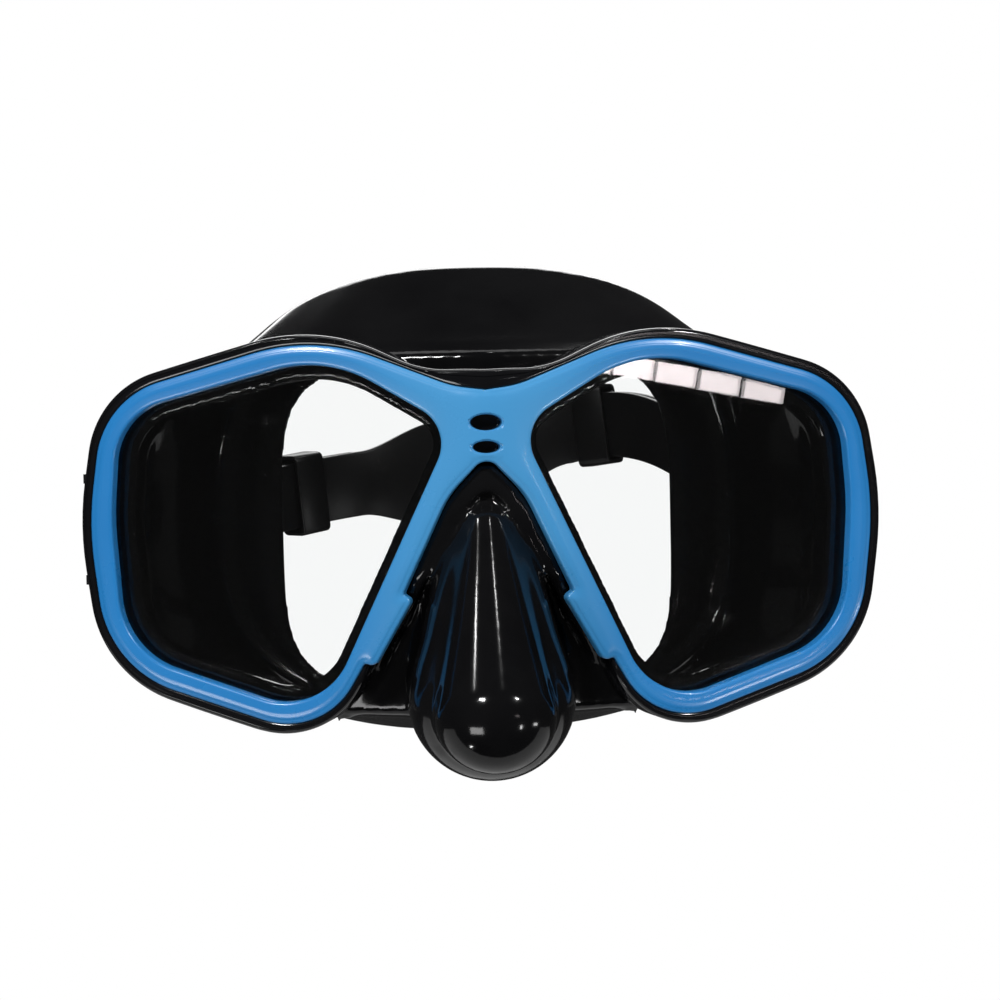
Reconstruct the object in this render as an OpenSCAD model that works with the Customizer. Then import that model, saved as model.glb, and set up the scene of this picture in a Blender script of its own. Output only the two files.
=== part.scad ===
// Twin-lens diving mask with a nose pocket, swivel buckles and a head strap.
// Millimetres. +Z is up, the wearer looks along -Y, and the origin is the middle of the face seal.

/* [Frame and bezel] */
// Distance from the face seal's plane to the front of the bridge
seal_depth = 60; // [58:1:62]
// Sweep-back angle of each half of the front
sweep = 13; // [12:0.5:14]
// Thickness of the bezel's front
bezel_t = 3.2; // [2.8:0.1:3.4]
// Width of the black rim that shows around the bezel
rim = 2.4; // [2:0.1:2.8]
// Set-back of the rim's front edge behind the bezel's front
rim_setback = 0.9; // [0.6:0.1:1.5]
// Depth of the frame behind the bezel's front face
frame_t = 11; // [10.5:0.1:11.5]

/* [Lenses] */
// Thickness of the lens glass
lens_t = 4; // [3.5:0.1:4.2]
// How far a lens reaches under the bezel, all round
lens_lap = 2.5; // [2.3:0.1:2.7]

/* [Skirt] */
// Thickness of the silicone walls
wall = 2.2; // [2:0.1:2.6]
// Half width of the face seal over its outer edge
seal_half_w = 60; // [59:0.5:61]
// Height of the forehead hood above the middle
seal_top = 60.5; // [58:0.5:61]
// Drop of the upper-lip seal below the middle
seal_drop = 46; // [45:0.5:47]

/* [Head strap] */
// Width of the strap band
strap_w = 17; // [16:0.5:18]
// Thickness of the strap band
strap_t = 2.2; // [2:0.1:2.4]
// Height of the pad at the back of the head
pad_w = 27; // [25:0.5:30]
// Length of the slot that splits the pad
pad_slot_l = 12; // [10:1:16]
// Height of that slot
pad_slot_h = 6; // [5:0.5:7]
// Distance from the bridge's front to the back of the strap
strap_reach = 152; // [148:1:156]
// Rise of the strap at the back of the head
rear_rise = 11.1; // [9:0.5:12]
// Slope of the strap across the back of the head
rear_slope = 0.23; // [0.2:0.005:0.26]
// How much the two ends of the pad curl up
rear_curl = 0.14; // [0:0.01:0.15]

/* [Buckles] */
// Radius of the swivel pin
pin_r = 1.5; // [1.4:0.05:1.6]
// Radius of the strap roller
roller_r = 3.2; // [3:0.1:3.2]
// Inward lean of each buckle from straight back
lean = 10; // [9:0.5:11]
// Clearance of a pin in the bore that turns on it
run_gap = 0.05; // [0.03:0.01:0.08]

/* [Hidden] */

left = -1;
right = 1;
BLUE = [0.22, 0.58, 0.87];
BLACK = [0.08, 0.08, 0.09];
RUBBER = [0.12, 0.12, 0.13];
STEEL = [0.75, 0.76, 0.78];
GLASS = [0.75, 0.88, 0.90, 0.35];
eps = 0.01;
far = 200;

// Half outlines of the front, right side, corners as [x, z, radius], anticlockwise
LENS_OPENING = [[7.1, 22.6, 8.1], [35.6, -37.8, 14.7], [77.3, -23.6, 17], [79.2, 4.7, 60],
    [77.4, 26.7, 14], [33.1, 38.2, 27]];
BEZEL_OUTER = [[0, 15.5, 0], [1.5, 15.5, 3.4], [8.4, 8.6, 20], [18, -11.8, 60], [35.6, -42.2, 16],
    [80.6, -27.2, 23], [84.2, 3.2, 64], [80.3, 30.1, 19], [35.3, 42.5, 40], [7, 31.2, 22],
    [0, 30.3, 0]];
FRAME_OUTER = [[0, 16.3, 0], [1.6, 16.3, 3.6], [8.9, 9, 20], [18.8, -11.4, 60],
    [33.6, -43.3 - rim, 16.2 + rim],
    [80.1 + rim, -26.7 - rim, 23.1 + rim], [84.2 + rim, 3.4, 66], [79.8 + rim, 29.8 + rim, 18.6 + rim],
    [35, 42.7 + rim, 37.6 + rim], [13.5, 35, 26], [0, 34.6, 0]];

// Depths behind the front face, front to back
lens_front = bezel_t;
lens_back = lens_front + lens_t;
flange_back = lens_back + 2;
skirt_front = frame_t + 0.3;
neck_grow = 0.9;
window_inset = 2.9;
fit_gap = 0.1;

// Two ovals in the bridge as [z, half width, half height]
BRIDGE_OVALS = [[23.6, 3.4, 1.65], [18.5, 2.9, 1.25]];

// The tab on each nose-side leg of the bezel
tab_top = -11.2;
tab_bottom = -26;
tab_out = 2.4;

// The skirt's cross-sections as [half width, top, bottom, exponent]
SKIRT_FRONT = [77, 38, 38, 4];
SKIRT_REAR = [seal_half_w, seal_top, seal_drop, 2.6];
FACE_OPENING = [43.5, 37, 36.5, 4.5];
ring_n = 40;
seal_flat = 49;
seal_wrap = 12;
lip_tuck = 7;

// The nose pocket from top to tip as [z, half width, front y, half height]
NOSE = [[5, 6.5, -1, 4], [-6, 9.8, -8, 4], [-18, 12.2, -15, 4], [-28, 14.4, -21.5, 4],
    [-37, 16, -27, 5], [-42, 15, -26.5, 6], [-39, 17, 6, 10]];
nose_back = 10;

// Swivel pin and buckle layout: u runs back along the strap, v points outward
pin_x = 80.2;
pin_y = 38;
buckle_z = 1;
knuckle_r = 3.4;
knuckle_h = 15;
ear_r = 3.8;
ear_gap = 0.4;
ear_t = 2.5;
arm_x = -1.3;
arm_y = 28.3;
arm_w = 4.2;
pin_head_r = 2.3;
pin_head_t = 0.4;
roller_u = 11;
axle_r = 1.25;
cheek_in = strap_w / 2 + 1.9;
cheek_t = 2.1;
wrap_r = roller_r + 0.3;
base_v = -7.4;
base_t = 1.4;
lever_u = 18.5;
lever_v = 8.2;
lever_pin_r = 1;
lever_w = 2 * cheek_in - 1;
spring_slot = 6;
bar_u = 15.4;
bar_v = 10.2;
bar_r = 0.7;
cut_r = 32.5;
band_u = cut_r + 1.2;
layer_v = wrap_r + strap_t / 2;
tail_gap = strap_t + 0.6;
curl_r = 12;

// Where each keeper and each strap tail ends along its half of the loop
KEEPER_AT = [0.62, 0.69];
tail_end = 0.82;
keeper_l = 9;
keeper_gap = 1;
keeper_t = 1;

// --- Outlines ---------------------------------------------------------------------------

function unit(v) = v / norm(v);
function cross2(a, b) = a[0] * b[1] - a[1] * b[0];
function turned(v, a) = [v[0] * cos(a) - v[1] * sin(a), v[0] * sin(a) + v[1] * cos(a)];
function point_of(c) = [c[0], c[1]];
function mix(a, b, t) = a * (1 - t) + b * t;
function clamp01(t) = min(max(t, 0), 1);
function ease(t) = let (k = clamp01(t)) k * k * (3 - 2 * k);

// An outline moved outward by d, with its corner radii kept parallel
function grown(c, d) = [for (i = [0 : len(c) - 1])
    let (p = point_of(c[(i + len(c) - 1) % len(c)]), q = point_of(c[i]),
         n = point_of(c[(i + 1) % len(c)]), e1 = unit(q - p), e2 = unit(n - q),
         n1 = [e1[1], -e1[0]], n2 = [e2[1], -e2[0]],
         m = q + d * (n1 + n2) / (1 + n1 * n2),
         r = c[i][2] + (cross2(e1, e2) > 0 ? d : -d))
    [m[0], m[1], c[i][2] == 0 ? 0 : max(r, 0.3)]];

// The points of one corner's arc
function arc_points(p, c, n, r) = r == 0 ? [c] :
    let (u = unit(p - c), v = unit(n - c), half = acos(u * v) / 2,
         centre = c + unit(u + v) * r / sin(half), a0 = c + u * r / tan(half) - centre,
         turn = (cross2(c - p, n - c) > 0 ? 1 : -1) * (180 - 2 * half),
         k = max(1, ceil(abs(turn) / 15)))
    [for (i = [0 : k]) centre + turned(a0, turn * i / k)];

function rounded(c) = [for (i = [0 : len(c) - 1])
    each arc_points(point_of(c[(i + len(c) - 1) % len(c)]), point_of(c[i]),
                    point_of(c[(i + 1) % len(c)]), c[i][2])];

// A plate of one half's outline, from depth d0 to d1 behind the swept front face
module plate(corners, d0, d1) {
    rotate([0, 0, sweep])
        translate([0, d1, 0])
            rotate([90, 0, 0])
                linear_extrude(d1 - d0)
                    polygon([for (p = rounded(corners)) [p[0] / cos(sweep), p[1]]]);
}

// One half of the front, cut off at the middle plane
module right_half() {
    intersection() {
        translate([0, -far / 2, -far / 2]) cube([far, far, far]);
        children();
    }
}

module both_halves() {
    right_half() children();
    mirror([1, 0, 0]) right_half() children();
}

module at_front() { translate([0, -seal_depth, 0]) children(); }

module at_side(side) { mirror([side < 0 ? 1 : 0, 0, 0]) children(); }

// --- Bezel, frame and lenses ---------------------------------------------------------------

module oval(z, half_w, half_h) {
    translate([0, far / 4, z])
        rotate([90, 0, 0])
            linear_extrude(far / 2)
                polygon([for (a = [0 : 15 : 345]) [half_w * cos(a), half_h * sin(a)]]);
}

// The strip that steps out of the nose-side leg
module nose_tab() {
    top = point_of(BEZEL_OUTER[3]);
    along = unit(point_of(BEZEL_OUTER[4]) - top);
    out = [along[1], -along[0]];
    a = top + along * (tab_top - top[1]) / along[1];
    b = top + along * (tab_bottom - top[1]) / along[1];
    strip = [for (p = [a - out, a + tab_out * out, b + tab_out * out, b - out]) [p[0], p[1], 0.6]];
    plate([for (i = [0 : 3]) strip[i]], 1, bezel_t);
}

module front_bezel() {
    color(BLUE) at_front() {
        difference() {
            both_halves() plate(BEZEL_OUTER, 0, bezel_t);
            both_halves() plate(LENS_OPENING, -1, bezel_t + 1);
            for (o = BRIDGE_OVALS) oval(o[0], o[1], o[2]);
        }
        both_halves() nose_tab();
    }
}

// One ear of the clevis that holds the swivel pin, with its arm to the frame
module ear() {
    translate([pin_x, pin_y, 0]) cylinder(r = ear_r, h = ear_t, $fn = 48);
    translate([pin_x + arm_x, arm_y, 0]) cube([arm_w, pin_y - arm_y, ear_t]);
}

module lug(side) {
    at_side(side) difference() {
        for (s = [0, 1])
            translate([0, 0, buckle_z])
                mirror([0, 0, s])
                    translate([0, 0, knuckle_h / 2 + ear_gap]) ear();
        translate([pin_x, pin_y, buckle_z]) cylinder(r = pin_r, h = far, center = true, $fn = 48);
    }
}

module main_frame() {
    seat = grown(LENS_OPENING, lens_lap + fit_gap);
    color(BLACK) at_front() {
        difference() {
            both_halves() plate(FRAME_OUTER, rim_setback, frame_t);
            both_halves() plate(BEZEL_OUTER, -1, bezel_t);
            both_halves() nose_tab();
            both_halves() plate(seat, bezel_t - 1, flange_back);
            both_halves() plate(grown(LENS_OPENING, neck_grow + fit_gap), bezel_t, frame_t + 1);
        }
        lug(left);
        lug(right);
    }
}

module lens(side) {
    color(GLASS) at_front() at_side(side)
        plate(grown(LENS_OPENING, lens_lap), lens_front, lens_back);
}

// --- Skirt --------------------------------------------------------------------------------

// Point of a section at angle a: half width w, top and bottom heights, and exponent n
function section_point(s, a) =
    let (h = sin(a) >= 0 ? s[1] : s[2],
         r = pow(pow(abs(cos(a)) / s[0], s[3]) + pow(abs(sin(a)) / h, s[3]), -1 / s[3]))
    [r * cos(a), r * sin(a)];

function section_angle(i) = 360 * i / ring_n;
function shrunk(s, d) = [s[0] - d, s[1] - d, s[2] - d, s[3]];

function front_surface(p) = skirt_front / cos(sweep) + abs(p[0]) * tan(sweep);
function rear_surface(p) = seal_flat + seal_wrap * pow(p[0] / seal_half_w, 2)
    - (p[1] < 0 ? lip_tuck * pow(p[1] / seal_drop, 2) * (1 - pow(p[0] / seal_half_w, 2)) : 0);

// A ring scaled by k on the front surface, moved back by d
function front_ring(s, k, d) = [for (i = [0 : ring_n - 1])
    let (p = section_point(s, section_angle(i)) * k) [p[0], front_surface(p) + d, p[1]]];

function rear_ring(s, k, d) = [for (i = [0 : ring_n - 1])
    let (p = section_point(s, section_angle(i)) * k) [p[0], rear_surface(p) + d, p[1]]];

function middle_ring(f, r, t, df, dr) =
    let (s = [mix(f[0], r[0], pow(t, 0.8)), mix(f[1], r[1], t), mix(f[2], r[2], t),
              mix(f[3], r[3], pow(t, 0.6))])
    [for (i = [0 : ring_n - 1])
        let (p = section_point(s, section_angle(i)), pf = section_point(f, section_angle(i)),
             pr = section_point(r, section_angle(i)))
        [p[0], mix(front_surface(pf) + df, rear_surface(pr) + dr, t), p[1]]];

// A closed solid through a list of equal rings, each end closed on its own middle
module ring_solid(rings) {
    n = len(rings[0]);
    m = len(rings);
    a = rings[0];
    z = rings[m - 1];
    mid_a = (a[n / 4] + a[3 * n / 4]) / 2;
    mid_z = (z[n / 4] + z[3 * n / 4]) / 2;
    points = [for (r = rings) each r, mid_a, mid_z];
    faces = [
        for (j = [0 : m - 2]) for (i = [0 : n - 1])
            let (k = (i + 1) % n) each [
                [j * n + i, (j + 1) * n + k, (j + 1) * n + i],
                [j * n + i, j * n + k, (j + 1) * n + k]],
        for (i = [0 : n - 1]) [m * n, (i + 1) % n, i],
        for (i = [0 : n - 1]) [m * n + 1, (m - 1) * n + i, (m - 1) * n + (i + 1) % n]];
    polyhedron(points, faces, convexity = 8);
}

// The skirt's body as a solid; d is how far it lies inside the outer surface
module skirt_form(d) {
    f = shrunk(SKIRT_FRONT, d);
    r = shrunk(SKIRT_REAR, d);
    ring_solid([
        front_ring(f, 0.5, d),
        for (k = [0 : 5]) middle_ring(f, r, k / 5, d, -d),
        for (k = [0.85, 0.7, 0.5, 0.25]) rear_ring(r, k, -d)]);
}

// The nose pocket as a solid; d is how far it lies inside the outer surface
module nose_form(d) {
    for (i = [0 : len(NOSE) - 2])
        hull() for (s = [NOSE[i], NOSE[i + 1]])
            translate([0, nose_back + (s[2] > 0 ? 22 : 0), s[0]])
                scale([s[1] - d, nose_back - s[2] + (s[2] > 0 ? 8 : 0) - d, s[3] - d])
                    sphere(r = 1, $fn = 20);
}

module face_opening() {
    translate([0, far / 2 + 30, 0])
        rotate([90, 0, 0])
            linear_extrude(far / 2)
                polygon([for (i = [0 : ring_n - 1]) section_point(FACE_OPENING, section_angle(i + 0.5))]);
}

module skirt() {
    color(RUBBER) at_front() difference() {
        union() {
            skirt_form(0);
            nose_form(0);
            both_halves() {
                plate(grown(LENS_OPENING, lens_lap), lens_back, flange_back);
                plate(grown(LENS_OPENING, neck_grow), flange_back - eps, skirt_front + 1);
            }
        }
        skirt_form(wall);
        nose_form(wall);
        face_opening();
        both_halves() plate(grown(LENS_OPENING, -window_inset), lens_back - 1, skirt_front + wall + 1);
    }
}

// --- Head strap -----------------------------------------------------------------------------

function on_buckle_point(u, v) =
    [pin_x - u * sin(lean) + v * cos(lean), pin_y + u * cos(lean) + v * sin(lean)];

function loop_xy(t) =
    let (p0 = on_buckle_point(band_u, -layer_v), p1 = p0 + 45 * [-sin(lean), cos(lean)],
         p2 = [46, strap_reach], p3 = [0, strap_reach])
    pow(1 - t, 3) * p0 + 3 * pow(1 - t, 2) * t * p1 + 3 * (1 - t) * t * t * p2 + pow(t, 3) * p3;

function rear_z(x) = rear_rise + rear_slope * x + rear_curl * (norm([x, curl_r]) - curl_r);
function loop_z(side, t) = mix(buckle_z, rear_z(side * loop_xy(t)[0]), ease(t / 0.8));
function loop_out(t) =
    let (d = unit(loop_xy(min(t + 0.01, 1)) - loop_xy(min(t + 0.01, 1) - 0.02))) [d[1], -d[0]];
function band_half(t) = mix(strap_w, pad_w, ease((t - 0.78) / 0.17)) / 2;

// A point on one half of the loop, moved outward by off
function loop_point(side, t, off) =
    let (p = loop_xy(t) + off * loop_out(t)) [side * p[0], p[1], loop_z(side, t)];

// The four corners of the band's section
function band_ring(side, t, off, half) = [for (c = [[-1, -1], [1, -1], [1, 1], [-1, 1]])
    loop_point(side, t, off + c[0] * strap_t / 2) + [0, 0, c[1] * half]];

function base_rings() = [for (i = [-20 : 20])
    let (side = i < 0 ? left : right, t = 1 - abs(i) / 20) band_ring(side, t, 0, band_half(t))];

function tail_off(t) = mix(2 * layer_v, tail_gap, ease(t / 0.3));
function tail_rings(side) = [for (i = [0 : 16])
    let (t = tail_end * i / 16) band_ring(side, t, tail_off(t), strap_w / 2)];

// A closed band through four-cornered sections
module band(rings, flip) {
    m = len(rings);
    faces = [
        for (j = [0 : m - 2]) for (i = [0 : 3])
            let (k = (i + 1) % 4, q = [j * 4 + i, j * 4 + k, (j + 1) * 4 + k, (j + 1) * 4 + i])
            each [[q[0], q[1], q[2]], [q[0], q[2], q[3]]],
        [3, 2, 1, 0], [4 * m - 4, 4 * m - 3, 4 * m - 2, 4 * m - 1]];
    polyhedron([for (r = rings) each r],
               flip ? [for (f = faces) [for (i = [len(f) - 1 : -1 : 0]) f[i]]] : faces,
               convexity = 6);
}

module head_strap() {
    color(RUBBER) at_front() {
        difference() {
            band(base_rings(), true);
            translate([-pad_slot_l / 2, strap_reach - 10, rear_rise - pad_slot_h / 2])
                cube([pad_slot_l, 20, pad_slot_h]);
        }
        band(tail_rings(left), true);
        band(tail_rings(right), false);
    }
}

// --- Buckles ----------------------------------------------------------------------------------

// Local axes of a buckle: X back along the strap, Y outward, origin on the swivel pin
module on_buckle(side) {
    at_front() at_side(side)
        translate([pin_x, pin_y, buckle_z])
            rotate([0, 0, 90 + lean])
                mirror([0, 1, 0]) children();
}

module upright(u, v, r, h) { translate([u, v, 0]) cylinder(r = r, h = h, center = true, $fn = 48); }

module hinge_pin(side) {
    pin_h = knuckle_h + 2 * (ear_gap + ear_t);
    color(STEEL) on_buckle(side) {
        upright(0, 0, pin_r, pin_h + 2 * pin_head_t);
        for (s = [0, 1])
            mirror([0, 0, s])
                translate([0, 0, pin_h / 2]) cylinder(r = pin_head_r, h = pin_head_t, $fn = 48);
    }
}

// One side wall of the buckle, in its own plane
module cheek() {
    translate([4.8, base_v, cheek_in]) cube([18.2, 12.2, cheek_t]);
    translate([13, 0, cheek_in]) cube([9, lever_v, cheek_t]);
    translate([lever_u, lever_v, cheek_in]) cylinder(r = 2.8, h = cheek_t, $fn = 48);
    translate([bar_u, bar_v, cheek_in]) cylinder(r = 1.4, h = cheek_t, $fn = 48);
    translate([bar_u - 1.4, lever_v - 1, cheek_in]) cube([2.8, bar_v - lever_v + 1, cheek_t]);
}

module buckle_body(side) {
    color(BLACK) on_buckle(side) difference() {
        union() {
            upright(0, 0, knuckle_r, knuckle_h);
            translate([0, base_v, -knuckle_h / 2]) cube([4.6, -base_v, knuckle_h]);
            translate([3, base_v, -cheek_in]) cube([20, base_t, 2 * cheek_in]);
            for (s = [0, 1]) mirror([0, 0, s]) cheek();
            upright(bar_u, bar_v, bar_r, 2 * cheek_in + eps);
        }
        upright(0, 0, pin_r + run_gap, far);
        upright(roller_u, 0, axle_r, far);
        upright(lever_u, lever_v, lever_pin_r, far);
    }
}

module roller_axle(side) {
    color(STEEL) on_buckle(side) upright(roller_u, 0, axle_r, 2 * (cheek_in + cheek_t));
}

module strap_roller(side) {
    color(BLACK) on_buckle(side) difference() {
        upright(roller_u, 0, roller_r, 2 * cheek_in - 1.2);
        upright(roller_u, 0, axle_r + run_gap, far);
    }
}

// The strap's turn round the roller, ending on a circle about the swivel pin
module strap_end(side) {
    color(RUBBER) on_buckle(side) intersection() {
        union() {
            translate([roller_u, 0, 0])
                rotate([0, 0, 90])
                    rotate_extrude(angle = 180, $fn = 96)
                        translate([wrap_r, -strap_w / 2]) square([strap_t, strap_w]);
            for (v = [wrap_r, -wrap_r - strap_t])
                translate([roller_u - eps, v, -strap_w / 2]) cube([cut_r, strap_t, strap_w]);
        }
        upright(0, 0, cut_r, far);
    }
}

// The lever at rest: barrels on the pin, a pawl at the strap and a thumb pad
module ratchet_lever(side) {
    color(BLACK) on_buckle(side) difference() {
        union() {
            upright(lever_u, lever_v, 2.2, lever_w);
            translate([13.4, wrap_r + strap_t + 0.4, -lever_w / 2]) cube([1.2, 2, lever_w]);
            translate([13.4, lever_v - 1.6, -lever_w / 2]) cube([5.1, 1.6, lever_w]);
            translate([lever_u, lever_v + 0.5, -lever_w / 2]) cube([13, 1.8, lever_w]);
        }
        upright(lever_u, lever_v, lever_pin_r + run_gap, far);
        translate([lever_u - 2.4, lever_v - 3, -spring_slot / 2]) cube([5.2, 7, spring_slot]);
    }
}

module lever_pin(side) {
    color(STEEL) on_buckle(side) upright(lever_u, lever_v, lever_pin_r, 2 * (cheek_in + cheek_t));
}

// A round wire through a list of points that lie mostly across Z
module wire(path, r) {
    n = 6;
    m = len(path);
    rings = [for (j = [0 : m - 1])
        let (d = unit(path[min(j + 1, m - 1)] - path[max(j - 1, 0)]), side = unit(cross([0, 0, 1], d)),
             up = cross(d, side))
        [for (i = [0 : n - 1]) path[j] + r * (cos(360 * i / n) * side + sin(360 * i / n) * up)]];
    faces = [
        for (j = [0 : m - 2]) for (i = [0 : n - 1])
            let (k = (i + 1) % n) each [
                [j * n + i, (j + 1) * n + i, (j + 1) * n + k],
                [j * n + i, (j + 1) * n + k, j * n + k]],
        [for (i = [0 : n - 1]) i],
        [for (i = [n - 1 : -1 : 0]) (m - 1) * n + i]];
    polyhedron([for (s = rings) each s], faces, convexity = 8);
}

// Torsion spring round the lever pin, from the cross bar to the thumb pad
module lever_spring(side) {
    coil_r = 1.6;
    turns = 3;
    pitch = 0.8;
    first = 130;
    last = first + 360 * turns - 160;
    coil = [for (a = [first : 20 : last])
        [lever_u + coil_r * cos(a), lever_v + coil_r * sin(a),
         pitch * ((a - first) / 360 - turns / 2)]];
    color(STEEL) on_buckle(side)
        wire([[bar_u - 0.2, bar_v - 1, coil[0][2]], each coil,
              [lever_u + 4, lever_v - 0.4, coil[len(coil) - 1][2] + 0.1]], 0.25);
}

// --- Keepers ----------------------------------------------------------------------------------

// Local axes of a keeper: X along the strap, Y outward
module strap_keeper(side) {
    t = KEEPER_AT[side < 0 ? 0 : 1];
    here = loop_point(side, t, 0);
    ahead = loop_point(side, t + 0.02, 0);
    run = ahead - here;
    yaw = atan2(run[1], run[0]);
    pitch = atan2(run[2], norm([run[0], run[1]]));
    out_sign = side < 0 ? 1 : -1;
    inner = [-strap_t / 2 - keeper_gap, tail_gap + strap_t / 2 + keeper_gap];
    half = strap_w / 2 + keeper_gap;
    color(RUBBER) at_front() translate(here) rotate([0, 0, yaw]) rotate([0, -pitch, 0])
        mirror([0, out_sign < 0 ? 1 : 0, 0]) mirror([0, 1, 0]) difference() {
            translate([-keeper_l / 2, -inner[1] - keeper_t, -half - keeper_t])
                cube([keeper_l, inner[1] - inner[0] + 2 * keeper_t, 2 * (half + keeper_t)]);
            translate([-keeper_l, -inner[1], -half])
                cube([2 * keeper_l, inner[1] - inner[0], 2 * half]);
        }
}

front_bezel();
main_frame();
lens(left);  // lens_left
lens(right);  // lens_right
skirt();
head_strap();
hinge_pin(left);  // hinge_pin_left
hinge_pin(right);  // hinge_pin_right
buckle_body(left);  // buckle_body_left
buckle_body(right);  // buckle_body_right
strap_end(left);  // strap_end_left
strap_end(right);  // strap_end_right
roller_axle(left);  // roller_axle_left
roller_axle(right);  // roller_axle_right
strap_roller(left);  // strap_roller_left
strap_roller(right);  // strap_roller_right
ratchet_lever(left);  // ratchet_lever_left
ratchet_lever(right);  // ratchet_lever_right
lever_pin(left);  // lever_pin_left
lever_pin(right);  // lever_pin_right
lever_spring(left);  // lever_spring_left
lever_spring(right);  // lever_spring_right
strap_keeper(left);  // strap_keeper_left
strap_keeper(right);  // strap_keeper_right
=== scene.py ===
import math
import bmesh
import bpy
import numpy as np
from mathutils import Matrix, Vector

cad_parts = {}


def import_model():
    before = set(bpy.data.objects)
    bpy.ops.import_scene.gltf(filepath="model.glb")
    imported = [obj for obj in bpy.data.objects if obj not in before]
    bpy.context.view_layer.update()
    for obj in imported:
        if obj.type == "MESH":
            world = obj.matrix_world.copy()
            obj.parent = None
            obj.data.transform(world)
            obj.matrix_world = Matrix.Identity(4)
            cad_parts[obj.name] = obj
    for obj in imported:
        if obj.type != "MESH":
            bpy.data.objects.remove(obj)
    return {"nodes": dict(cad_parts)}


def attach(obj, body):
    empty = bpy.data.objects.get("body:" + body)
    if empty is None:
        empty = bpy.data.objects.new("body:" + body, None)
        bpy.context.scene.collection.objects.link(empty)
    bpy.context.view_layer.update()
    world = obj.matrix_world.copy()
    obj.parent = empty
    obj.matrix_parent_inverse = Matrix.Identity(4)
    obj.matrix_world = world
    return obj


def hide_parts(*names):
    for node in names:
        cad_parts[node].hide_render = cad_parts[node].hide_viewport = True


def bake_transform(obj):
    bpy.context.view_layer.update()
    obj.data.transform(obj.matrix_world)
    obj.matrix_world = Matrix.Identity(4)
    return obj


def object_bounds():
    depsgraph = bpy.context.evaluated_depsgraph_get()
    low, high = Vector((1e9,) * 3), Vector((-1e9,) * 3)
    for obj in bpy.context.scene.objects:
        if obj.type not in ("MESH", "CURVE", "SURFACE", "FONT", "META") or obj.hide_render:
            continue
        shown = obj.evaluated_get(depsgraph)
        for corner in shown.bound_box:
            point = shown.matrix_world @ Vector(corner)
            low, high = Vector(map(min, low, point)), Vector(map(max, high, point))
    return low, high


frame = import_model()
cad_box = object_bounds()

# Lengths are in millimetres from the front of the bridge, until to_frame() turns them into the
# frame's metres. Light, camera and blend places are in the frame's metres.
MM = 0.001
SEAL_DEPTH = 60.0           # from the front of the bridge back to the frame's origin
SWEEP = math.radians(13)    # each side of the front leans back by this
TAN = math.tan(SWEEP)
BRIDGE_SOFT = 5.0           # how softly the front bends at the middle
BEZEL_T = 3.2
FRAME_T = 11.0
RIM_SETBACK = 0.9           # the frame's rim behind the bezel's face
LENS_BACK = 7.2
SEAT_GROW = 2.6             # the lens seat beyond the lens opening

# Half outlines of the front, right side, corners as (x, z, radius), anticlockwise
LENS_OPENING = [(7.1, 22.6, 8.1), (35.6, -37.8, 14.7), (77.3, -23.6, 17), (79.2, 4.7, 60),
                (77.4, 26.7, 14), (33.1, 38.2, 27)]
BEZEL_OUTER = [(0, 15.5, 0), (1.5, 15.5, 3.4), (8.4, 8.6, 20), (18, -11.8, 60), (35.6, -42.2, 16),
               (80.6, -27.2, 23), (84.2, 3.2, 64), (80.3, 30.1, 19), (35.3, 42.5, 40),
               (7, 31.2, 22), (0, 30.3, 0)]
FRAME_OUTER = [(0, 16.3, 0), (1.6, 16.3, 3.6), (8.9, 9, 20), (18.8, -11.4, 60),
               (33.6, -45.7, 18.6), (82.5, -29.1, 25.5), (86.6, 3.4, 66), (82.2, 32.2, 21),
               (35, 45.1, 40), (13.5, 35, 26), (0, 34.6, 0)]
# Swivel pin's place in plan, its height, and the ears round it
PIN = np.array((80.2, 38.0))
BUCKLE_Z = 1.0
EAR_R = 3.8
# Ovals in the bridge as (z, half width, half height)
BRIDGE_OVALS = [(23.6, 3.4, 1.65), (18.5, 2.9, 1.25)]


# --- Outlines --------------------------------------------------------------------------------

def unit(v):
    return v / np.linalg.norm(v)


def grown(corners, d):
    """An outline moved outward by d, with its corner radii kept parallel."""
    out = []
    for i, (x, z, r) in enumerate(corners):
        p = np.array(corners[i - 1][:2], float)
        q = np.array((x, z), float)
        n = np.array(corners[(i + 1) % len(corners)][:2], float)
        e1, e2 = unit(q - p), unit(n - q)
        n1, n2 = np.array((e1[1], -e1[0])), np.array((e2[1], -e2[0]))
        turn = 1 if e1[0] * e2[1] - e1[1] * e2[0] > 0 else -1
        m = q + d * (n1 + n2) / (1 + n1 @ n2)
        out.append((m[0], m[1], max(r + turn * d, 0.3) if r else 0))
    return out


def rounded(corners, step=3.0):
    """The outline's points, with an arc at each corner that has a radius."""
    pts = []
    for i, (x, z, r) in enumerate(corners):
        p = np.array(corners[i - 1][:2], float)
        c = np.array((x, z), float)
        n = np.array(corners[(i + 1) % len(corners)][:2], float)
        if r == 0:
            pts.append(c)
            continue
        u, v = unit(p - c), unit(n - c)
        half = math.acos(np.clip(u @ v, -1, 1)) / 2
        centre = c + unit(u + v) * r / math.sin(half)
        a0 = c + u * r / math.tan(half) - centre
        e1, e2 = c - p, n - c
        sign = 1 if e1[0] * e2[1] - e1[1] * e2[0] > 0 else -1
        turn = sign * (math.pi - 2 * half)
        k = max(2, math.ceil(abs(math.degrees(turn)) / step))
        for j in range(k + 1):
            a = turn * j / k
            pts.append(centre + np.array((a0[0] * math.cos(a) - a0[1] * math.sin(a),
                                          a0[0] * math.sin(a) + a0[1] * math.cos(a))))
    return np.array(pts)


def arclength(line):
    return np.concatenate([[0], np.cumsum(np.linalg.norm(np.diff(line, axis=0), axis=1))])


def along(line, s):
    """Points at arc lengths s on an open polyline."""
    at = arclength(line)
    return np.stack([np.interp(s, at, line[:, k]) for k in range(line.shape[1])], axis=1)


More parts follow.
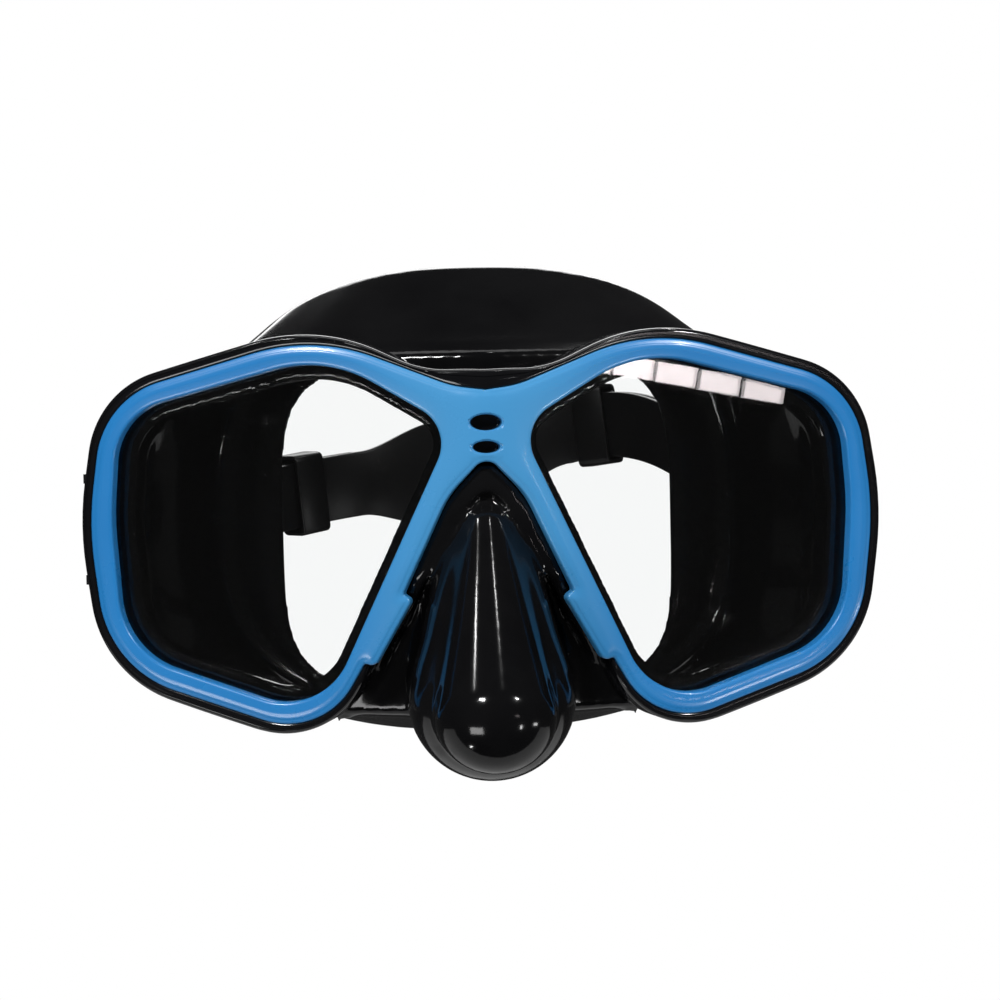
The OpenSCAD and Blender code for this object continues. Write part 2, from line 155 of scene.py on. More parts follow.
def nearest_length(line, p):
    """The arc length of the point of an open polyline that is nearest to p."""
    at = arclength(line)
    a, b = line[:-1], line[1:]
    ab = b - a
    t = np.clip(np.sum((p - a) * ab, 1) / np.maximum(np.sum(ab * ab, 1), 1e-12), 0, 1)
    q = a + ab * t[:, None]
    i = int(np.argmin(np.linalg.norm(q - p, axis=1)))
    return at[i] + t[i] * (at[i + 1] - at[i])


def distance_to(points, line):
    """Distance of each point to an open polyline."""
    best = np.full(len(points), 1e9)
    for a, b in zip(line[:-1], line[1:]):
        ab = b - a
        t = np.clip((points - a) @ ab / max(ab @ ab, 1e-12), 0, 1)
        best = np.minimum(best, np.linalg.norm(points - a - t[:, None] * ab, axis=1))
    return best


def inside(points, loop):
    """Even-odd test of each point against a closed loop."""
    hit = np.zeros(len(points), bool)
    for (x1, y1), (x2, y2) in zip(loop, np.roll(loop, -1, axis=0)):
        if y1 == y2:
            continue
        cross = (y1 > points[:, 1]) != (y2 > points[:, 1])
        hit ^= cross & (points[:, 0] < (x2 - x1) * (points[:, 1] - y1) / (y2 - y1) + x1)
    return hit


def signed(points, loop):
    """Signed distance to a closed loop, negative inside."""
    d = distance_to(points, np.vstack([loop, loop[:1]]))
    return np.where(inside(points, loop), -d, d)


# --- Placing points on the swept front -------------------------------------------------------

def sweep_y(x):
    return TAN * np.sqrt(x * x + BRIDGE_SOFT ** 2)


def place(x, z, d):
    """A point of the front's outline plane at depth d, on the softly bent front surface."""
    slope = TAN * x / np.sqrt(x * x + BRIDGE_SOFT ** 2)
    a = np.arctan(slope)
    return np.stack([x - d * np.sin(a), sweep_y(x) + d * np.cos(a), z], axis=-1)


def to_frame(p):
    """Millimetres from the bridge's front to metres in the frame."""
    return (np.asarray(p, float) - np.array((0, SEAL_DEPTH, 0))) * MM


# --- Meshes ----------------------------------------------------------------------------------

def make(name, points, faces, material, sharp=40.0):
    """A smooth shaded object from points in millimetres, crisp at edges over sharp degrees."""
    mesh = bpy.data.meshes.new(name)
    mesh.from_pydata(to_frame(points).tolist(), [], [list(map(int, f)) for f in faces])
    mesh.validate()
    mesh.update()
    obj = bpy.data.objects.new(name, mesh)
    bpy.context.scene.collection.objects.link(obj)
    obj.data.materials.append(material)
    smooth(obj, sharp)
    return obj


def smooth(obj, sharp):
    """Weld obj's mesh, and shade it smooth except at edges over sharp degrees."""
    bm = bmesh.new()
    bm.from_mesh(obj.data)
    bmesh.ops.remove_doubles(bm, verts=bm.verts, dist=1e-6)
    bmesh.ops.recalc_face_normals(bm, faces=bm.faces)
    for f in bm.faces:
        f.smooth = True
    for e in bm.edges:
        e.smooth = not (len(e.link_faces) == 2 and
                        e.calc_face_angle(0) > math.radians(sharp))
    bm.to_mesh(obj.data)
    bm.free()


def ring_faces(m, n, closed_rows, closed_cols, start=0):
    """Quads of a grid with m rows of n points."""
    faces = []
    for j in range(m if closed_rows else m - 1):
        for i in range(n if closed_cols else n - 1):
            a, b = j * n + i, j * n + (i + 1) % n
            c, e = ((j + 1) % m) * n + (i + 1) % n, ((j + 1) % m) * n + i
            faces.append((start + a, start + b, start + c, start + e))
    return faces


def tube_faces(m, n, start=0):
    """Faces of a capped tube with m rings of n points."""
    first, last = range(start, start + n), range(start + (m - 1) * n, start + m * n)
    return ring_faces(m, n, False, True, start) + [tuple(first)[::-1], tuple(last)]


def merged(parts):
    """Several (points, faces) as one."""
    points, faces, n = [], [], 0
    for p, f in parts:
        points.append(p)
        faces += [tuple(n + k for k in q) for q in f]
        n += len(p)
    return np.vstack(points), faces


def mirrored(points, faces):
    """The same solid on the other side of the middle."""
    p = points * np.array((-1, 1, 1))
    return p, [tuple(reversed(f)) for f in faces]


def cut(obj, tool):
    """Take the tool's solid away from obj, and remove the tool."""
    mod = obj.modifiers.new("cut", "BOOLEAN")
    mod.operation = "DIFFERENCE"
    mod.solver = "EXACT"
    mod.object = tool
    bpy.context.view_layer.update()
    final = obj.evaluated_get(bpy.context.evaluated_depsgraph_get())
    mesh = bpy.data.meshes.new_from_object(final)
    obj.modifiers.clear()
    mesh.name = obj.data.name
    obj.data = mesh
    bpy.data.objects.remove(tool)


def join(obj, other):
    """Add another object's mesh to obj, and remove the other."""
    bm = bmesh.new()
    bm.from_mesh(obj.data)
    bm.from_mesh(other.data)
    bm.to_mesh(obj.data)
    bm.free()
    bpy.data.objects.remove(other)


def cut_prism(obj, outline, low, high, material):
    """Cut a straight hole along Y through obj, with an (x, z) outline, from low to high."""
    points = np.vstack([np.insert(outline, 1, y, axis=1) for y in (low, high)])
    cut(obj, make("prism", points, tube_faces(2, len(outline)), material))


def slab(outline, low, high, edge):
    """An upright solid over an anticlockwise outline, with rounded top and bottom edges."""
    step = np.roll(outline, -1, axis=0) - np.roll(outline, 1, axis=0)
    out = np.stack([step[:, 1], -step[:, 0]], 1) / np.linalg.norm(step, axis=1)[:, None]
    turns = [math.radians(a) for a in (0, 30, 60, 90)]
    profile = [(edge * (1 - math.sin(a)), low + edge * (1 - math.cos(a))) for a in turns]
    profile += [(inset, low + high - z) for inset, z in reversed(profile)]
    rows = [np.column_stack([outline - out * inset, np.full(len(outline), z)])
            for inset, z in profile]
    return np.vstack(rows), tube_faces(len(rows), len(outline))


# --- Half plates: the ring between a lens opening and an outer outline -----------------------

MIDDLE_STEP = 0.3


def paired_loops(inner_corners, outer_corners, count):
    """Matched points on an inner loop and on a half outline with its middle line."""
    inner = rounded(inner_corners)
    inner = np.vstack([inner, inner[:1]])
    outer = rounded(outer_corners)
    anchors = [np.array(c[:2], float) for c in outer_corners]
    stops_out = [0.0] + [nearest_length(outer, a) for a in anchors[1:-1]] + [arclength(outer)[-1]]
    total_in = arclength(inner)[-1]
    stops_in = [nearest_length(inner, along(outer, [s])[0]) for s in stops_out]
    for i in range(1, len(stops_in)):
        while stops_in[i] < stops_in[i - 1] - 1e-6:
            stops_in[i] += total_in
    wrap_in = np.vstack([inner, inner[1:]])
    a_in, a_out = [], []
    length = arclength(outer)[-1]
    for k in range(len(stops_out) - 1):
        n = max(2, round(count * (stops_out[k + 1] - stops_out[k]) / length))
        f = np.arange(n) / n
        a_out.append(along(outer, stops_out[k] + f * (stops_out[k + 1] - stops_out[k])))
        a_in.append(along(wrap_in, stops_in[k] + f * (stops_in[k + 1] - stops_in[k])))
    # The middle line, from its top back to the start
    top, bottom = outer[-1], outer[0]
    n = max(1, round(np.linalg.norm(bottom - top) / MIDDLE_STEP))
    f = np.arange(n) / n
    a_out.append(top + (bottom - top) * f[:, None])
    a_in.append(along(wrap_in, stops_in[-1] + f * (stops_in[0] + total_in - stops_in[-1])))
    return np.vstack(a_in), np.vstack(a_out)


def plate(inner_corners, outer_corners, count, edge_steps, front, back_d, flat_middle=6):
    """A closed solid of both halves. front(x, z, to_inner, to_outer) gives the front's depth."""
    a, b = paired_loops(inner_corners, outer_corners, count)
    n = len(a)
    width = np.linalg.norm(b - a, axis=1)
    near = [np.minimum(e / width, 0.45) for e in edge_steps]
    first, last = near[-1], 1 - near[-1]
    rows = near + [first + (last - first) * k / flat_middle for k in range(1, flat_middle)]
    rows += [1 - e for e in reversed(near)]
    grid = np.array([a + (b - a) * r[:, None] for r in rows])
    m = len(rows)
    flat = grid.reshape(-1, 2)
    outline = rounded(outer_corners)
    edges = [outline, outline * np.array((-1, 1))]
    to_outer = np.min([distance_to(flat, e) for e in edges], axis=0)
    ring = rounded(inner_corners)
    to_inner = distance_to(flat, np.vstack([ring, ring[:1]]))
    d = front(flat[:, 0], flat[:, 1], to_inner, to_outer)
    top = place(flat[:, 0], flat[:, 1], d)
    low = place(flat[:, 0], flat[:, 1], np.full(len(flat), back_d))
    on_mid = np.abs(b[:, 0]) < 1e-9
    count_all = m * n
    faces = ring_faces(m, n, False, True)
    faces += [tuple(reversed([k + count_all for k in f])) for f in faces]
    for i in range(n):
        j = (i + 1) % n
        faces.append((i, j, count_all + j, count_all + i)[::-1])
        if not (on_mid[i] and on_mid[j]):
            o = (m - 1) * n
            faces.append((o + i, o + j, count_all + o + j, count_all + o + i))
    points = np.vstack([top, low])
    snap = np.tile(np.concatenate([np.zeros((m - 1) * n, bool), on_mid]), 2)
    points[snap, 0] = 0
    return merged([(points, faces), mirrored(points, faces)])


# --- Surface nets: a clean mesh of where a field changes sign --------------------------------

def surface_nets(field, origin, step):
    """Points and quads of the surface where a sampled field changes sign."""
    neg = field < 0
    c = [neg[i:neg.shape[0] - 1 + i, j:neg.shape[1] - 1 + j, k:neg.shape[2] - 1 + k]
         for i in (0, 1) for j in (0, 1) for k in (0, 1)]
    total = np.sum(c, axis=0)
    cells = np.argwhere((total > 0) & (total < 8))
    ident = np.full(total.shape, -1, np.int64)
    ident[tuple(cells.T)] = np.arange(len(cells))
    corner = [(i, j, k) for i in (0, 1) for j in (0, 1) for k in (0, 1)]
    value = np.stack([field[cells[:, 0] + i, cells[:, 1] + j, cells[:, 2] + k]
                      for i, j, k in corner], 1)
    spot = np.zeros((len(cells), 3))
    hits = np.zeros(len(cells))
    for p in range(8):
        for q in range(p + 1, 8):
            diff = np.subtract(corner[q], corner[p])
            if np.abs(diff).sum() != 1:
                continue
            va, vb = value[:, p], value[:, q]
            cut = (va < 0) != (vb < 0)
            t = np.where(cut, va / np.where(cut, va - vb, 1), 0)
            spot += np.where(cut[:, None], np.array(corner[p]) + t[:, None] * diff, 0)
            hits += cut
    points = (cells + spot / hits[:, None]) * step + origin
    faces = []
    for axis in range(3):
        lo = [slice(None)] * 3
        hi = [slice(None)] * 3
        lo[axis], hi[axis] = slice(None, -1), slice(1, None)
        cut = neg[tuple(lo)] != neg[tuple(hi)]
        e = np.argwhere(cut)
        u, v = [k for k in range(3) if k != axis]
        e = e[(e[:, u] > 0) & (e[:, v] > 0)
              & (e[:, u] < neg.shape[u] - 1) & (e[:, v] < neg.shape[v] - 1)]
        corners = []
        for du, dv in ((-1, -1), (0, -1), (0, 0), (-1, 0)):
            q = e.copy()
            q[:, u] += du
            q[:, v] += dv
            corners.append(ident[tuple(q.T)])
        quad = np.stack(corners, 1)
        flip = neg[tuple(e.T)] != (axis == 1)
        quad[~flip] = quad[~flip][:, ::-1]
        faces.append(quad)
    return points, np.vstack(faces)


def relaxed(points, faces, rounds):
    """Each point moved part of the way to the mean of its neighbours."""
    edges = np.vstack([faces[:, [i, (i + 1) % 4]] for i in range(4)])
    for _ in range(rounds):
        total = np.zeros_like(points)
        count = np.bincount(edges.ravel(), minlength=len(points)).astype(float)
        for k in range(3):
            total[:, k] = (np.bincount(edges[:, 0], points[edges[:, 1], k], len(points))
                           + np.bincount(edges[:, 1], points[edges[:, 0], k], len(points)))
        points = 0.5 * points + 0.5 * total / np.maximum(count, 1)[:, None]
    return points


def smin(a, b, k):
    """The smaller of two fields, blended over a width k."""
    h = np.clip(0.5 + 0.5 * (b - a) / k, 0, 1)
    return b * (1 - h) + a * h - k * h * (1 - h)


def smax(a, b, k):
    """The larger of two fields, blended over a width k."""
    return -smin(-a, -b, k)


def ease(t):
    k = np.clip(t, 0, 1)
    return k * k * (3 - 2 * k)


def mix(a, b, t):
    return a * (1 - t) + b * t


# --- Materials -------------------------------------------------------------------------------

def base_material(name):
    mat = bpy.data.materials.new(name)
    mat.use_nodes = True
    nodes, links = mat.node_tree.nodes, mat.node_tree.links
    return mat, nodes, links, nodes["Principled BSDF"]


def noise(nodes, links, scale, detail=4.0, rough=0.55):
    coord = nodes.new("ShaderNodeTexCoord")
    tex = nodes.new("ShaderNodeTexNoise")
    tex.inputs["Scale"].default_value = scale
    tex.inputs["Detail"].default_value = detail
    tex.inputs["Roughness"].default_value = rough
    links.new(coord.outputs["Object"], tex.inputs["Vector"])
    return tex


def ramp(nodes, links, source, stops):
    r = nodes.new("ShaderNodeValToRGB")
    r.color_ramp.elements[0].position, r.color_ramp.elements[0].color = stops[0]
    r.color_ramp.elements[1].position, r.color_ramp.elements[1].color = stops[-1]
    for pos, col in stops[1:-1]:
        e = r.color_ramp.elements.new(pos)
        e.color = col
    links.new(source, r.inputs["Fac"])
    return r


def span(nodes, links, source, low, high):
    m = nodes.new("ShaderNodeMapRange")
    m.inputs["To Min"].default_value = low
    m.inputs["To Max"].default_value = high
    links.new(source, m.inputs["Value"])
    return m


def bump(nodes, links, source, strength, distance, bsdf):
    b = nodes.new("ShaderNodeBump")
    b.inputs["Strength"].default_value = strength
    b.inputs["Distance"].default_value = distance
    links.new(source, b.inputs["Height"])
    links.new(b.outputs["Normal"], bsdf.inputs["Normal"])
    return b


def maths(nodes, links, operation, *sources):
    """A Math node fed by sockets or plain numbers. Returns its output."""
    node = nodes.new("ShaderNodeMath")
    node.operation = operation
    for k, source in enumerate(sources):
        if isinstance(source, float):
            node.inputs[k].default_value = source
        else:
            links.new(source, node.inputs[k])
    return node.outputs[0]


def moulded(name, dark, light, rough_low, rough_high, grain=900.0, strength=0.05, coat=0.0,
            ior=1.5):
    """Moulded plastic or silicone: slight mottling, varied gloss and a fine grain."""
    mat, nodes, links, bsdf = base_material(name)
    cloud = noise(nodes, links, 60.0)
    col = ramp(nodes, links, cloud.outputs["Fac"], [(0.3, dark), (0.7, light)])
    links.new(col.outputs["Color"], bsdf.inputs["Base Color"])
    wipe = noise(nodes, links, 25.0, 6.0, 0.7)
    links.new(span(nodes, links, wipe.outputs["Fac"], rough_low, rough_high).outputs["Result"],
              bsdf.inputs["Roughness"])
    fine = noise(nodes, links, grain, 2.0)
    bump(nodes, links, fine.outputs["Fac"], strength, 0.0002, bsdf)
    bsdf.inputs["IOR"].default_value = ior
    bsdf.inputs["Coat Weight"].default_value = coat
    bsdf.inputs["Coat Roughness"].default_value = 0.05
    return mat


def painted_bridge_light(mat):
    """Painted light: the blue's colour is painted lighter towards the bridge, standing for the
    brighter light that falls there.
    """
    nodes, links = mat.node_tree.nodes, mat.node_tree.links
    bsdf = nodes["Principled BSDF"]
    plain_colour = bsdf.inputs["Base Color"].links[0].from_socket
    coord = nodes.new("ShaderNodeTexCoord")
    split = nodes.new("ShaderNodeSeparateXYZ")
    links.new(coord.outputs["Object"], split.inputs["Vector"])
    away = maths(nodes, links, "ABSOLUTE", split.outputs["X"])
    near = nodes.new("ShaderNodeMapRange")
    near.interpolation_type = "SMOOTHSTEP"
    near.inputs["From Min"].default_value = 0.008
    near.inputs["From Max"].default_value = 0.040
    near.inputs["To Min"].default_value = 0.75
    near.inputs["To Max"].default_value = 0.0
    links.new(away, near.inputs["Value"])
    blend = nodes.new("ShaderNodeMix")
    blend.data_type = "RGBA"
    # The lighter blue of the painted light near the bridge
    blend.inputs[7].default_value = (0.085, 0.37, 0.70, 1)
    links.new(near.outputs["Result"], blend.inputs["Factor"])
    links.new(plain_colour, blend.inputs[6])
    links.new(blend.outputs[2], bsdf.inputs["Base Color"])
    return mat


def steel():
    mat, nodes, links, bsdf = base_material("pin_steel")
    grain = noise(nodes, links, 700.0, 3.0)
    col = ramp(nodes, links, grain.outputs["Fac"],
               [(0.3, (0.5, 0.5, 0.52, 1)), (0.7, (0.7, 0.7, 0.72, 1))])
    links.new(col.outputs["Color"], bsdf.inputs["Base Color"])
    bsdf.inputs["Metallic"].default_value = 1.0
    links.new(span(nodes, links, grain.outputs["Fac"], 0.18, 0.32).outputs["Result"],
              bsdf.inputs["Roughness"])
    bump(nodes, links, grain.outputs["Fac"], 0.08, 0.0001, bsdf)
    return mat


def lens_glass():
    mat, nodes, links, bsdf = base_material("lens_glass")
    bsdf.inputs["Base Color"].default_value = (0.985, 0.998, 0.995, 1)
    bsdf.inputs["Transmission Weight"].default_value = 1.0
    bsdf.inputs["IOR"].default_value = 1.45
    smear = noise(nodes, links, 30.0, 5.0, 0.7)
    links.new(span(nodes, links, smear.outputs["Fac"], 0.0, 0.02).outputs["Result"],
              bsdf.inputs["Roughness"])
    return mat


def all_materials():
    return {
        # The bezel's blue, with painted light near the bridge
        "bezel_blue": painted_bridge_light(moulded("bezel_blue", (0.019, 0.215, 0.56, 1),
                                             (0.023, 0.230, 0.585, 1), 0.24, 0.32, 1200.0,
                                             0.03, 0.2)),
        "frame_black": moulded("frame_black", (0.004, 0.004, 0.005, 1), (0.007, 0.007, 0.008, 1),
                               0.08, 0.16, 1200.0, 0.02),
        "skirt_silicone": moulded("skirt_silicone", (0.003, 0.003, 0.0035, 1),
                                  (0.006, 0.006, 0.0065, 1), 0.07, 0.15, 900.0, 0.03, 0.0, 1.37),
        "strap_silicone": moulded("strap_silicone", (0.001, 0.001, 0.0012, 1),
                                  (0.002, 0.002, 0.0022, 1), 0.26, 0.40, 900.0, 0.08, 0.0, 1.28),
        "buckle_black": moulded("buckle_black", (0.007, 0.007, 0.008, 1),
                                (0.012, 0.012, 0.013, 1), 0.22, 0.36, 1500.0, 0.08),
        "pin_steel": steel(),
        "lens_glass": lens_glass(),
    }


MAT = all_materials()


# --- Bezel -----------------------------------------------------------------------------------

def fillet(s, r, drop=None):
    """How far a surface has dropped at distance s from an edge that is rounded with radius r."""
    k = np.clip(1 - s / r, 0, 1)
    return (r if drop is None else drop) * (1 - np.sqrt(np.maximum(1 - k * k, 0)))


TAB_OUT = 2.2               # the nose tabs beyond the leg's edge
TAB_END_Z = -26.0


def with_tab(corners):
    """The outline with a strip that steps out of the nose-side leg."""
    a, c = np.array(corners[3][:2], float), np.array(corners[4][:2], float)
    run = unit(c - a)
    out = np.array((run[1], -run[0]))
    b = a + run * (TAB_END_Z - a[1]) / run[1]
    tab = [(*a, 0.5), (*(a + TAB_OUT * out), 1.1), (*(b + TAB_OUT * out), 1.6), (*b, 0.6)]
    return corners[:3] + tab + corners[4:]


LIP_COVER = 0.3             # how far the lip reaches over the edge of its hole


def ellipse(z, w, h, count=64):
    t = np.arange(count) * 2 * math.pi / count
    return np.stack([w * np.cos(t), z + h * np.sin(t)], 1)


def oval_lip(z, w, h):
    """A thin rounded edge round an oval hole."""
    rows = []
    for grow, d in ((0.42, BEZEL_T - 0.1), (0.42, 0.42), (0.36, 0.20), (0.24, 0.11),
                    (0.10, 0.20), (0.02, 0.42), (0.0, 0.7), (0.0, BEZEL_T - 0.1)):
        line = ellipse(z, w + grow, h + grow)
        rows.append(place(line[:, 0], line[:, 1], np.full(len(line), d)))
    return np.vstack(rows), ring_faces(len(rows), len(rows[0]), True, True)


def bezel():
    def front(x, z, to_inner, to_outer):
        crown = 0.35 * (1 - np.minimum(to_outer, to_inner) / 4.0).clip(0, 1) ** 2
        ledge = 0.14 * ease((1.25 - to_outer) / 0.45)
        return crown + ledge + fillet(to_inner, 0.55) + fillet(to_outer, 0.5)

    steps = [0, 0.06, 0.16, 0.32, 0.55, 0.9, 1.07, 1.25, 1.7]
    points, faces = plate(LENS_OPENING, with_tab(BEZEL_OUTER), 460, steps, front, BEZEL_T)
    obj = make("front_bezel_shell", points, faces, MAT["bezel_blue"], 50)
    for z, w, h in BRIDGE_OVALS:
        cut_prism(obj, ellipse(z, w + LIP_COVER, h + LIP_COVER), -10.0, 20.0, MAT["bezel_blue"])
    points, faces = merged([oval_lip(*oval) for oval in BRIDGE_OVALS])
    join(obj, make("lips", points, faces, MAT["bezel_blue"], 180))
    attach(obj, "mask")
    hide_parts("front_bezel")
    return obj


bezel()


# --- Frame -----------------------------------------------------------------------------------

def open_pair(a_corners, b_corners, count):
    """Matched points along two half outlines, from the notch to the top middle."""
    a, b = rounded(a_corners), rounded(b_corners)
    anchors = [np.array(c[:2], float) for c in a_corners]
    sa = [0.0] + [nearest_length(a, p) for p in anchors[1:-1]] + [arclength(a)[-1]]
    sb = [0.0] + [nearest_length(b, along(a, [s])[0]) for s in sa[1:-1]] + [arclength(b)[-1]]
    pa, pb = [], []
    for k in range(len(sa) - 1):
        n = max(2, round(count * (sa[k + 1] - sa[k]) / sa[-1]))
        f = np.arange(n + (k == len(sa) - 2)) / n
        pa.append(along(a, sa[k] + f * (sa[k + 1] - sa[k])))
        pb.append(along(b, sb[k] + f * (sb[k + 1] - sb[k])))
    return np.vstack(pa), np.vstack(pb)


def full_loop(half):
    """A half line from middle to middle, closed with its mirror image."""
    other = half[1:-1][::-1] * np.array((-1, 1))
    return np.vstack([half, other])


def frame_rim():
    """The stepped rim round the bezel, from the bezel's edge out to the frame's."""
    a, b = open_pair(BEZEL_OUTER, FRAME_OUTER, 420)
    step = np.gradient(a, axis=0)
    out = np.stack([step[:, 1], -step[:, 0]], 1) / np.linalg.norm(step, axis=1)[:, None]
    half_w = np.sum((b - a) * out, axis=1)
    a, b = full_loop(a), full_loop(b)
    w = np.concatenate([half_w, half_w[1:-1][::-1]])
    shown = ease((w - 0.2) / 1.2)
    direction = (b - a) / np.maximum(np.linalg.norm(b - a, axis=1), 1e-9)[:, None]
    direction *= np.sign(w)[:, None]
    front = mix(BEZEL_T + 0.2, RIM_SETBACK, shown)
    inner = np.minimum(0.06, w - 1.2)
    groove = 0.45 * shown
    profile = [
        (inner, BEZEL_T + 0.3 + 0 * w), (inner, front + 0.45), (inner + 0.12, front + 0.15),
        (inner + 0.4, front), (mix(inner, w, 0.40), front),
        (mix(inner, w, 0.44), front + 0.2 * shown),
        (mix(inner, w, 0.60), front + 0.2 * shown), (mix(inner, w, 0.64), front + 0.02),
        (w - 0.75, front + 0.04), (w - 0.55, front + 0.14), (w - 0.22, front + 0.42),
        (w - 0.04, front + 0.9), (w, front + 1.4), (w, 4.6 + 0 * w), (w - groove, 4.9 + 0 * w),
        (w - groove, 5.6 + 0 * w), (w, 5.9 + 0 * w), (w, 8.0 + 0 * w), (w, 10.2 + 0 * w),
        (w - 0.25, 10.75 + 0 * w), (w - 0.8, FRAME_T + 0 * w), (inner - 0.8, FRAME_T + 0 * w),
        (inner - 0.8, BEZEL_T + 0.3 + 0 * w)]
    rows = []
    for off, d in profile:
        p = a + direction * off[:, None]
        rows.append(place(p[:, 0], p[:, 1], d))
    points = np.vstack(rows)
    return points, ring_faces(len(profile), len(a), True, True)


def frame_web():
    """The plate behind the bezel that holds the lens seats."""
    def front(x, z, to_inner, to_outer):
        return np.full(len(x), BEZEL_T + 0.02)

    outer = FRAME_OUTER[:4] + [(34.8, -42.8, 16)] + BEZEL_OUTER[5:-1] + [(0, 29.7, 0)]
    return plate(grown(LENS_OPENING, SEAT_GROW), outer, 200, [0, 0.3], front, FRAME_T - 0.05, 3)


def ears():
    """Two ears on each side that hold the swivel pin, each with an arm from the frame."""
    turns = np.radians(np.linspace(-40.2, 250, 40))
    head = np.stack([PIN[0] + EAR_R * np.cos(turns), PIN[1] + EAR_R * np.sin(turns)], 1)
    arm = np.array([(78.9, 31.4), (77.7, 28.4), (84.6, 28.4), (83.1, 31.4)])
    outline = np.vstack([arm, head])
    parts = []
    for low in (BUCKLE_Z + 7.9, BUCKLE_Z - 10.4):
        one = slab(outline, low, low + 2.5, 0.5)
        parts += [one, mirrored(*one)]
    return parts


def frame_piece():
    """The rim, the web and the ears as one moulding."""
    points, faces = merged([frame_rim(), frame_web()] + ears())
    obj = make("main_frame_shell", points, faces, MAT["frame_black"], 35)
    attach(obj, "mask")
    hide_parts("main_frame")
    return obj


frame_piece()


# --- Skirt -----------------------------------------------------------------------------------

WALL = 2.2
# Sections as (half width, top, drop, squareness)
SKIRT_FRONT = (77.0, 38.0, 38.0, 4.0)
SKIRT_REAR = (60.0, 60.5, 46.0, 2.6)
FACE_OPENING = (43.5, 37.0, 36.5, 4.5)
SKIRT_START = 11.3          # the skirt's front edge behind the bezel's face
# The collar's inner and outer edge round the nose, right side, as (x, z, radius)
COLLAR_OUTER = [(0, 15.2, 0), (1.5, 15.2, 3.2), (8.1, 8.4, 20), (17.6, -11.8, 60),
                (34.0, -41.1, 2), (0, -60, 0)]
COLLAR_INNER = [(0, 8.8, 0), (1.3, 8.8, 2.9), (6.2, 3.6, 18), (14.8, -13, 60),
                (30.0, -41.1, 2), (0, -60, 0)]
GRID_REACH = (-5, 95, -60, 65)


def section_radius(x, z, a, top, low, n):
    """Distance outward from a rounded section, along the line from its middle."""
    h = np.where(z >= 0, top, low)
    r = np.sqrt(x * x + z * z) + 1e-6
    q = ((np.abs(x) / a) ** n + (np.abs(z) / h) ** n) ** (1 / n)
    return r - r / np.maximum(q, 1e-6)


def round_cone(x, y, z, a, b, ra, rb, sx=1.0):
    """Distance to the hull of two spheres, squeezed along X by sx."""
    p = np.stack([x / sx, y, z])
    a, b = np.array(a, float), np.array(b, float)
    ab = b - a
    l2 = ab @ ab
    t = np.clip(sum((p[k] - a[k]) * ab[k] for k in range(3)) / l2, 0, 1)
    t = t.astype(np.float32)
    d = np.sqrt(sum((p[k] - a[k] - t * ab[k]) ** 2 for k in range(3)))
    return d - (ra + (rb - ra) * t)


def sample_grid(grid, x0, z0, h, x, z):
    """Bilinear lookup of a 2D grid."""
    u = np.clip((x - x0) / h, 0, grid.shape[0] - 1.001)
    v = np.clip((z - z0) / h, 0, grid.shape[1] - 1.001)
    i, j = u.astype(int), v.astype(int)
    fu, fv = u - i, v - j
    return (grid[i, j] * (1 - fu) * (1 - fv) + grid[i + 1, j] * fu * (1 - fv)
            + grid[i, j + 1] * (1 - fu) * fv + grid[i + 1, j + 1] * fu * fv)


def loop_grid(loop, h=0.5, reach=GRID_REACH):
    """Signed distances to a loop, sampled on a grid for sample_grid()."""
    xs = np.arange(reach[0], reach[1] + h, h)
    zs = np.arange(reach[2], reach[3] + h, h)
    gx, gz = np.meshgrid(xs, zs, indexing="ij")
    d = signed(np.stack([gx.ravel(), gz.ravel()], 1), loop)
    return d.reshape(gx.shape), reach[0], reach[2], h


def loop_distance(half, x, z):
    """Signed distance to the loop that a half outline makes with its mirror image."""
    line = rounded(half)
    loop = np.vstack([line, line[::-1] * np.array((-1, 1))])
    reach = (-GRID_REACH[1],) + GRID_REACH[1:]
    return sample_grid(*loop_grid(loop, 0.5, reach), x, z)


def nose_form(x, y, z, d):
    """The nose pocket's field, drawn in by d: a ridge, a wider base, and a chin behind them."""
    ridge = round_cone(x, y, z, (0, 6.0, 1.5), (0, -14.6, -35.2), 4.4 - d, 11.7 - d, 1.06)
    base = round_cone(x, y, z, (0, 14.0, 3.5), (0, -0.5, -33.2), 8.8 - d, 17.0 - d, 1.0)
    chin = round_cone(x, y, z, (0, 2.0, -33.0), (0, 36.0, -34.0), 15.0 - d, 12.0 - d, 1.05)
    return smin(smin(ridge, base, 1.6), chin, 4.0)


def skirt_field(x, y, z):
    """Fields of the skirt's outside, of the space inside it, and of the face opening."""
    ax = np.abs(x)
    start = SKIRT_START / math.cos(SWEEP) + TAN * np.sqrt(ax * ax + 9)
    low_z = np.where(z < 0, (z / SKIRT_REAR[2]) ** 2, 0)
    rear = 49 + 12 * (ax / 60) ** 2 - 7 * low_z * np.clip(1 - (ax / 60) ** 2, 0, 1)
    t = np.clip((y - start) / (rear - start), 0, 1)
    f, r = SKIRT_FRONT, SKIRT_REAR
    a = mix(f[0], r[0], t ** 0.8)
    top = mix(f[1], r[1], t)
    low = mix(f[2], r[2], t)
    n = mix(f[3], r[3], t ** 0.6)
    radial = section_radius(x, z, a, top, low, n) * 0.86
    # A soft raised ring where the skirt leaves the frame
    radial = radial - 0.25 * np.exp(-((y - start - 3.6) / 2.4) ** 2)
    front = (start - y) * math.cos(SWEEP)
    back = (y - rear) * 0.93
    outer = smax(smax(radial, back, 5.0), front, 0.8)

    # The nose: a ridge that widens into a round tip, on a wider base
    outer = smin(outer, nose_form(x, y, z, 0), 5.0)
    cavity = smax(smax(radial + WALL, back + 1.7, 4.0), front + WALL, 1.0)
    cavity = smin(cavity, nose_form(x, y, z, WALL), 5.0)
    opening = np.maximum(section_radius(x, z, *FACE_OPENING), 32 - y)
    return outer, cavity, opening


